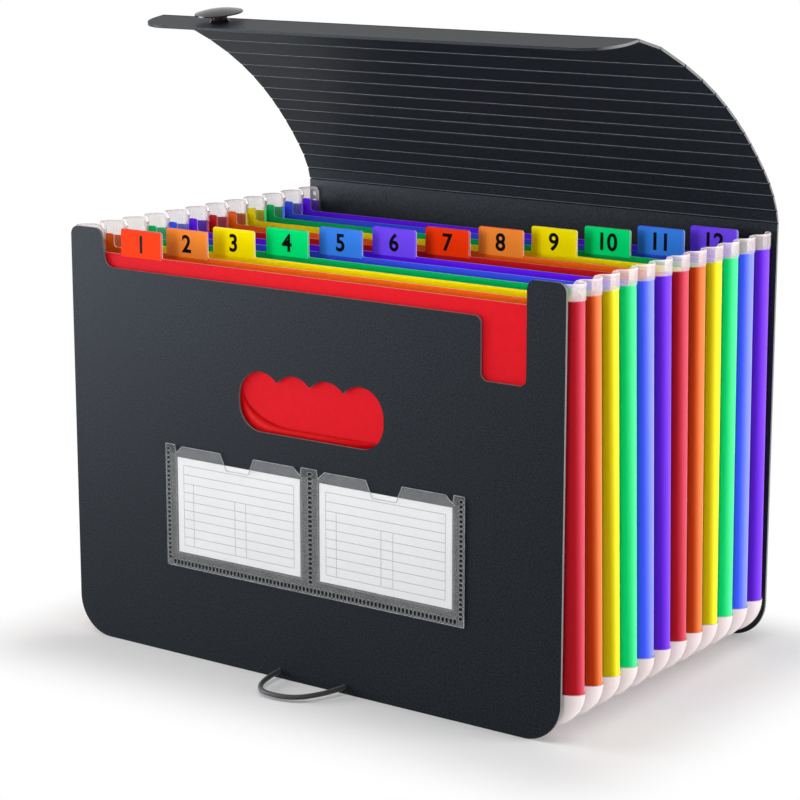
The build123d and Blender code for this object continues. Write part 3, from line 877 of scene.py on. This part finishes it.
# %% Ruled cards
RULE, RULE_THICK, INSET, LEVELS = 0.3 * MM, 0.05 * MM, 4.2 * MM, 10
UPRIGHTS = ((0.09, 7), (0.47, 6), (0.57, 6))
card_paper = finish("card_paper", 0.7, Specular_IOR_Level=0.1)
grain(card_paper, 0.8 * MM, (227, 227, 227), (233, 233, 233), 0.05)
print_grey = finish("print_grey", 0.7)
grain(print_grey, 1 * MM, (128, 130, 132), (146, 148, 150), 0.02)
for name in ("card_left", "card_right"):
    paint(name, card_paper)
    low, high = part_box(name)
    x0, x1 = low.x + INSET, high.x - INSET
    z0, z1 = low.z + INSET, high.z - INSET
    levels = np.linspace(z0, z1, LEVELS)
    bars = [((x0 + x1) / 2, level, x1 - x0, RULE) for level in levels]
    uprights = [(x0, z1), (x1, z1)] + [(x0 + share * (x1 - x0), levels[i]) for share, i in UPRIGHTS]
    bars += [(x, (z0 + top) / 2, RULE, top - z0) for x, top in uprights]
    x, z, wide, tall = np.array(bars).T
    centres = np.stack([x, np.full(len(bars), low.y), z], axis=1)
    sizes = np.stack([wide, np.full(len(bars), RULE_THICK), tall], axis=1)
    rules = blocks("rules_" + name, centres, sizes)
    paint(rules, print_grey)
    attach(rules, "front")
print("each card has", len(bars), "printed lines")

# %% [markdown]
# The last small parts are the button, a glossy mushroom of dark plastic, and the stops behind the
# cover that keep the elastic from pulling out. Both keep their solids.

# %% Button and stops
button_plastic = finish("button_plastic", 0.2, Specular_IOR_Level=0.22)
grain(button_plastic, 5 * MM, (24, 15, 18), (34, 22, 26), 0.02)
paint("lid_button", button_plastic)
stop_plastic = finish("stop_plastic", 0.4)
grain(stop_plastic, 2 * MM, (180, 180, 180), (198, 198, 198), 0.03)
paint("elastic_stops", stop_plastic)

# %% [markdown]
# The set is a white studio. The world is white for rays that look at it or mirror it, and dimmer as a
# light, so that the lamps give the shadows. Three kinds of ray are added up, each sum kept at one or
# less, and the sum picks the strength.

# %% Background
AMBIENT = 0.26
world = bpy.data.worlds.new("studio")
bpy.context.scene.world = world
world.use_nodes = True
tree = world.node_tree
path = tree.nodes.new("ShaderNodeLightPath")
total = None
for word in ("Is Camera Ray", "Is Glossy Ray", "Is Transmission Ray"):
    step = tree.nodes.new("ShaderNodeMath")
    step.use_clamp = True
    tree.links.new(path.outputs[word], step.inputs[0])
    step.inputs[1].default_value = 0
    if total:
        tree.links.new(total.outputs[0], step.inputs[1])
    total = step
strength = tree.nodes.new("ShaderNodeMapRange")
strength.inputs["To Min"].default_value = AMBIENT
tree.links.new(total.outputs[0], strength.inputs["Value"])
tree.links.new(strength.outputs["Result"], tree.nodes["Background"].inputs["Strength"])
tree.nodes["Background"].inputs["Color"].default_value = (1, 1, 1, 1)
print("ambient light", AMBIENT)

# %% [markdown]
# Near the file the floor is plain diffuse white, so it takes the shadow; further out it fades, for the
# camera only, to the white of the background. How far out a point is, is the length of what sticks out
# past the footprint's box.

# %% Floor
FLOOR_HALF, FLOOR_Z = 6.0, -0.0002
BOX_CENTRE, BOX_HALF, FADE_LENGTH = (0.01, -0.02, 0), (0.165, 0.11, 1), 0.075
floor_mesh = bpy.data.meshes.new("floor")
floor_corners = [(x * FLOOR_HALF, y * FLOOR_HALF, FLOOR_Z) for x, y in ((-1, -1), (1, -1), (1, 1), (-1, 1))]
floor_mesh.from_pydata(floor_corners, [], [(0, 1, 2, 3)])
floor = bpy.data.objects.new("floor", floor_mesh)
bpy.context.scene.collection.objects.link(floor)
floor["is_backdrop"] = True
paper = finish("floor_paper", 0.9, Specular_IOR_Level=0.1)
grain(paper, 0.3, (250, 250, 250), (252, 252, 252), 0.0)
new = paper.node_tree.nodes.new
place, fade, path, only, glow, blend = (
    new("ShaderNode" + kind)
    for kind in ("TexCoord", "MapRange", "LightPath", "Math", "Emission", "MixShader")
)
centre, size, past, out_of_box, length = (new("ShaderNodeVectorMath") for step in range(5))
centre.operation = "SUBTRACT"
centre.inputs[1].default_value = BOX_CENTRE
size.operation = "ABSOLUTE"
past.operation = "SUBTRACT"
past.inputs[1].default_value = BOX_HALF
out_of_box.operation = "MAXIMUM"
length.operation = "LENGTH"
fade.interpolation_type = "SMOOTHSTEP"
fade.inputs["From Max"].default_value = FADE_LENGTH
only.operation = "MULTIPLY"
wire(paper, place, "Object", centre, 0)
wire(paper, centre, "Vector", size, 0)
wire(paper, size, "Vector", past, 0)
wire(paper, past, "Vector", out_of_box, 0)
wire(paper, out_of_box, "Vector", length, 0)
wire(paper, length, "Value", fade, "Value")
wire(paper, fade, "Result", only, 0)
wire(paper, path, "Is Camera Ray", only, 1)
wire(paper, only, 0, blend, "Fac")
wire(paper, "Principled BSDF", 0, blend, 1)
wire(paper, glow, 0, blend, 2)
wire(paper, blend, 0, "Material Output", "Surface")
paint(floor, paper)
print("floor at z", FLOOR_Z)

# %% [markdown]
# Six square lamps light the file at a plain level. The key stands low at the left, a large front and a
# large top lamp fill in, and the edge lamp at the right brightens the pleats. A narrow beam reaches in
# under the lid, where the tabs would be dim. The last lamp, bluish and low at the left, shows in gloss
# alone: it gives the dark covers their sheen from left to right and leaves every colour as it is.


# %% Lamps
def lamp(name, place, aim, size, power):
    """Square area lamp at place, facing aim."""
    light = bpy.data.lights.new(name, "AREA")
    light.size = size
    light.energy = power
    piece = bpy.data.objects.new(name, light)
    piece.location = place
    x, y, z = np.array(aim) - np.array(place)
    piece.rotation_euler = (np.arctan2(np.hypot(x, y), -z), 0, np.arctan2(-x, y))
    bpy.context.scene.collection.objects.link(piece)
    return piece


lamp("key", (-0.95, -0.55, 0.3), (0, -0.05, 0.24), 0.6, 8)
lamp("front", (0.3, -1.8, 0.7), (0, 0, 0.2), 1.4, 4)
lamp("top", (0.2, -0.6, 2.1), (0, 0, 0.1), 1.4, 11)
lamp("edge", (1.5, 0.35, 0.3), (0.1, 0, 0.12), 0.8, 20)
under_lid = lamp("inside", (0.1, -0.95, 0.4), (0.03, 0.05, 0.3), 0.3, 0.22)
under_lid.data.spread = np.radians(36)
sheen = lamp("sheen", (-1.1, -0.8, 0.05), (-0.1, -0.1, 0.15), 0.7, 29)
sheen.data.color = (0.68, 0.82, 1)
sheen.visible_diffuse = False
print(len(bpy.data.lights), "lamps")

# %% Finish
low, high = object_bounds()
print("visible box", [round((high[i] - low[i]) / MM, 1) for i in range(3)], "mm")
